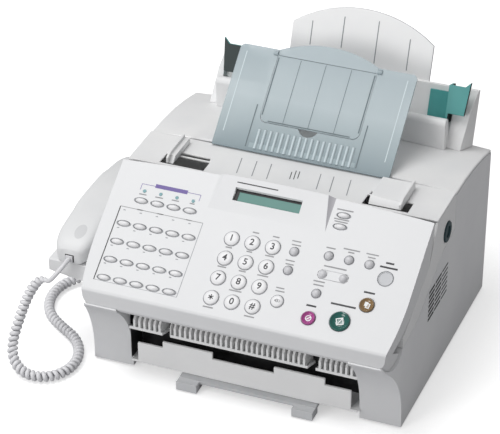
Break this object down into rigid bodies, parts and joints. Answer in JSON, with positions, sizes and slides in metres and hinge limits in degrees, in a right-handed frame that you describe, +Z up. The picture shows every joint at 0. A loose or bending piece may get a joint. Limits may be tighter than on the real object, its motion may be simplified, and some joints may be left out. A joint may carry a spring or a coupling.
{
  "type": "desktop fax machine",
  "caption": "Desktop laser fax with tilting key panel, document tray, sheet bin with support, paper exit and a corded handset on a side cradle.",
  "frame": {"origin": "on the table under the middle of the machine, cord left out", "axes": "+X to the right of someone at the keys, +Y to the back, +Z up"},
  "size_m": [0.4002, 0.3469, 0.2735],
  "materials": {
    "black": "matte",
    "board": "satin",
    "casing": "matte",
    "cord": "satin",
    "display": "gloss",
    "key_gold": "gloss",
    "key_green": "gloss",
    "key_grey": "satin",
    "key_pink": "gloss",
    "key_white": "satin",
    "lamp": "gloss",
    "panel": "matte",
    "rubber": "matte",
    "smoke": "gloss",
    "steel": "satin",
    "teal": "satin"
  },
  "bodies": {
    "base": {"base_housing": "casing", "top_cover": "casing", "paper_bin": "casing", "document_tray": "smoke", "exit_guide": "casing", "exit_cover": "casing", "handset_cradle": "casing", "rubber_feet": "rubber", "hinge_pins": "steel", "toner_cartridge": "black", "fuser_unit": "black", "laser_unit": "black", "main_board": "board", "drive_motor": "steel", "rear_sockets": "black", "cord_plug_base": "cord", "handset_cord": "cord"},
    "front_cover": {"scanner_frame": "casing", "document_chute": "casing", "scan_sensor": "black"},
    "panel": {"control_panel": "panel", "lcd_window": "display", "status_lamps": "lamp"},
    "handset": {"handset": "casing", "cord_plug_handset": "cord"},
    "document_guide_left": {"document_guide_left": "casing"},
    "document_guide_right": {"document_guide_right": "casing"},
    "release_button": {"release_button": "casing"},
    "tray_flap": {"tray_flap": "smoke"},
    "paper_support": {"paper_support": "casing"},
    "paper_guide_left": {"paper_guide_left": "teal"},
    "paper_guide_right": {"paper_guide_right": "teal"},
    "stacker_tray": {"stacker_tray": "casing"},
    "hook_switch": {"hook_switch": "casing"},
    "scan_roller": {"scan_roller": "rubber"},
    "feed_roller": {"feed_roller": "rubber"},
    "pickup_roller": {"pickup_roller": "rubber"},
    "exit_rollers": {"exit_rollers": "rubber"},
    "scroll_rocker": {"scroll_rocker": "key_white"},
    "copy_key": {"copy_key": "key_gold"},
    "forward_key": {"forward_key": "key_grey"},
    "key_0": {"key_0": "key_white"},
    "key_1": {"key_1": "key_white"},
    "key_2": {"key_2": "key_white"},
    "key_3": {"key_3": "key_white"},
    "key_4": {"key_4": "key_white"},
    "key_5": {"key_5": "key_white"},
    "key_6": {"key_6": "key_white"},
    "key_7": {"key_7": "key_white"},
    "key_8": {"key_8": "key_white"},
    "key_9": {"key_9": "key_white"},
    "key_hash": {"key_hash": "key_white"},
    "key_star": {"key_star": "key_white"},
    "speaker_key": {"speaker_key": "key_white"},
    "start_key": {"start_key": "key_green"},
    "stop_key": {"stop_key": "key_pink"},
    "function_keys": {"function_keys": "key_white"},
    "mode_keys": {"mode_keys": "key_white"},
    "one_touch_keys": {"one_touch_keys": "key_white"}
  },
  "joints": [
    {"name": "front_cover_hinge", "type": "hinge", "parent": "base", "child": "front_cover", "pos_m": [0.02375, -0.14369, 0.097], "axis": [1, 0, 0], "range_deg": [0, 35]},
    {"name": "panel_hinge", "type": "hinge", "parent": "front_cover", "child": "panel", "pos_m": [0.02375, -0.14369, 0.097], "axis": [1, 0, 0], "range_deg": [0, 25]},
    {"name": "release_press", "type": "slide", "parent": "front_cover", "child": "release_button", "axis": [-1, 0, 0], "range_m": [0, 0.002], "stiffness_N_per_m": 400},
    {"name": "document_guide_right_slide", "type": "slide", "parent": "front_cover", "child": "document_guide_right", "axis": [-1, 0, 0], "range_m": [0, 0.032]},
    {"name": "document_guide_left_slide", "type": "slide", "parent": "front_cover", "child": "document_guide_left", "axis": [-1, 0, 0], "range_m": [-0.032, 0]},
    {"name": "scan_roller_spin", "type": "hinge", "parent": "front_cover", "child": "scan_roller", "pos_m": [0.02375, -0.06269, 0.146], "axis": [1, 0, 0], "continuous": true},
    {"name": "feed_roller_spin", "type": "hinge", "parent": "front_cover", "child": "feed_roller", "pos_m": [0.02375, -0.03469, 0.156], "axis": [1, 0, 0], "continuous": true},
    {"name": "pickup_roller_spin", "type": "hinge", "parent": "base", "child": "pickup_roller", "pos_m": [0.02375, 0.09031, 0.142], "axis": [1, 0, 0], "continuous": true},
    {"name": "exit_rollers_spin", "type": "hinge", "parent": "base", "child": "exit_rollers", "pos_m": [0.02375, -0.09269, 0.062], "axis": [1, 0, 0], "continuous": true},
    {"name": "tray_flap_hinge", "type": "hinge", "parent": "base", "child": "tray_flap", "pos_m": [0.02375, 0.09533, 0.24279], "axis": [1, 0, 0], "range_deg": [-165, 0]},
    {"name": "paper_support_slide", "type": "slide", "parent": "base", "child": "paper_support", "axis": [0, 0.342, 0.9397], "range_m": [-0.03, 0]},
    {"name": "paper_guide_right_slide", "type": "slide", "parent": "base", "child": "paper_guide_right", "axis": [-1, 0, 0], "range_m": [0, 0.03]},
    {"name": "paper_guide_left_slide", "type": "slide", "parent": "base", "child": "paper_guide_left", "axis": [-1, 0, 0], "range_m": [-0.03, 0]},
    {"name": "stacker_slide", "type": "slide", "parent": "base", "child": "stacker_tray", "axis": [0, -1, 0], "range_m": [0, 0.055]},
    {"name": "handset_lift", "type": "slide", "parent": "base", "child": "handset", "axis": [0, 0, 1], "range_m": [0, 0.06], "deforming": ["handset_cord"]},
    {"name": "hook_switch_slide", "type": "slide", "parent": "base", "child": "hook_switch", "axis": [0, 0, 1], "range_m": [0, 0.003]},
    {"name": "scroll_rocker_tilt", "type": "hinge", "parent": "panel", "child": "scroll_rocker", "pos_m": [0.10345, -0.10459, 0.13953], "axis": [0, 0.8387, 0.5446], "range_deg": [-4, 4], "stiffness_Nm_per_rad": 0.1},
    {"name": "copy_key_press", "type": "slide", "parent": "panel", "child": "copy_key", "axis": [0, 0.5446, -0.8387], "range_m": [0, 0.0015], "stiffness_N_per_m": 400},
    {"name": "forward_key_press", "type": "slide", "parent": "panel", "child": "forward_key", "axis": [0, 0.5446, -0.8387], "range_m": [0, 0.0015], "stiffness_N_per_m": 400},
    {"name": "key_0_press", "type": "slide", "parent": "panel", "child": "key_0", "axis": [0, 0.5446, -0.8387], "range_m": [0, 0.0015], "stiffness_N_per_m": 400},
    {"name": "key_1_press", "type": "slide", "parent": "panel", "child": "key_1", "axis": [0, 0.5446, -0.8387], "range_m": [0, 0.0015], "stiffness_N_per_m": 400},
    {"name": "key_2_press", "type": "slide", "parent": "panel", "child": "key_2", "axis": [0, 0.5446, -0.8387], "range_m": [0, 0.0015], "stiffness_N_per_m": 400},
    {"name": "key_3_press", "type": "slide", "parent": "panel", "child": "key_3", "axis": [0, 0.5446, -0.8387], "range_m": [0, 0.0015], "stiffness_N_per_m": 400},
    {"name": "key_4_press", "type": "slide", "parent": "panel", "child": "key_4", "axis": [0, 0.5446, -0.8387], "range_m": [0, 0.0015], "stiffness_N_per_m": 400},
    {"name": "key_5_press", "type": "slide", "parent": "panel", "child": "key_5", "axis": [0, 0.5446, -0.8387], "range_m": [0, 0.0015], "stiffness_N_per_m": 400},
    {"name": "key_6_press", "type": "slide", "parent": "panel", "child": "key_6", "axis": [0, 0.5446, -0.8387], "range_m": [0, 0.0015], "stiffness_N_per_m": 400},
    {"name": "key_7_press", "type": "slide", "parent": "panel", "child": "key_7", "axis": [0, 0.5446, -0.8387], "range_m": [0, 0.0015], "stiffness_N_per_m": 400},
    {"name": "key_8_press", "type": "slide", "parent": "panel", "child": "key_8", "axis": [0, 0.5446, -0.8387], "range_m": [0, 0.0015], "stiffness_N_per_m": 400},
    {"name": "key_9_press", "type": "slide", "parent": "panel", "child": "key_9", "axis": [0, 0.5446, -0.8387], "range_m": [0, 0.0015], "stiffness_N_per_m": 400},
    {"name": "key_hash_press", "type": "slide", "parent": "panel", "child": "key_hash", "axis": [0, 0.5446, -0.8387], "range_m": [0, 0.0015], "stiffness_N_per_m": 400},
    {"name": "key_star_press", "type": "slide", "parent": "panel", "child": "key_star", "axis": [0, 0.5446, -0.8387], "range_m": [0, 0.0015], "stiffness_N_per_m": 400},
    {"name": "speaker_key_press", "type": "slide", "parent": "panel", "child": "speaker_key", "axis": [0, 0.5446, -0.8387], "range_m": [0, 0.0015], "stiffness_N_per_m": 400},
    {"name": "start_key_press", "type": "slide", "parent": "panel", "child": "start_key", "axis": [0, 0.5446, -0.8387], "range_m": [0, 0.0015], "stiffness_N_per_m": 400},
    {"name": "stop_key_press", "type": "slide", "parent": "panel", "child": "stop_key", "axis": [0, 0.5446, -0.8387], "range_m": [0, 0.0015], "stiffness_N_per_m": 400},
    {"name": "function_keys_press", "type": "slide", "parent": "panel", "child": "function_keys", "axis": [0, 0.5446, -0.8387], "range_m": [0, 0.0015], "stiffness_N_per_m": 400},
    {"name": "mode_keys_press", "type": "slide", "parent": "panel", "child": "mode_keys", "axis": [0, 0.5446, -0.8387], "range_m": [0, 0.0015], "stiffness_N_per_m": 400},
    {"name": "one_touch_keys_press", "type": "slide", "parent": "panel", "child": "one_touch_keys", "axis": [0, 0.5446, -0.8387], "range_m": [0, 0.0015], "stiffness_N_per_m": 400}
  ],
  "couplings": [
    {"joint": "document_guide_left_slide", "follows": "document_guide_right_slide", "ratio": -1},
    {"joint": "paper_guide_left_slide", "follows": "paper_guide_right_slide", "ratio": -1},
    {"joint": "hook_switch_slide", "follows": "handset_lift", "ratio": 0.05},
    {"joint": "feed_roller_spin", "follows": "scan_roller_spin", "ratio": 0.875}
  ]
}
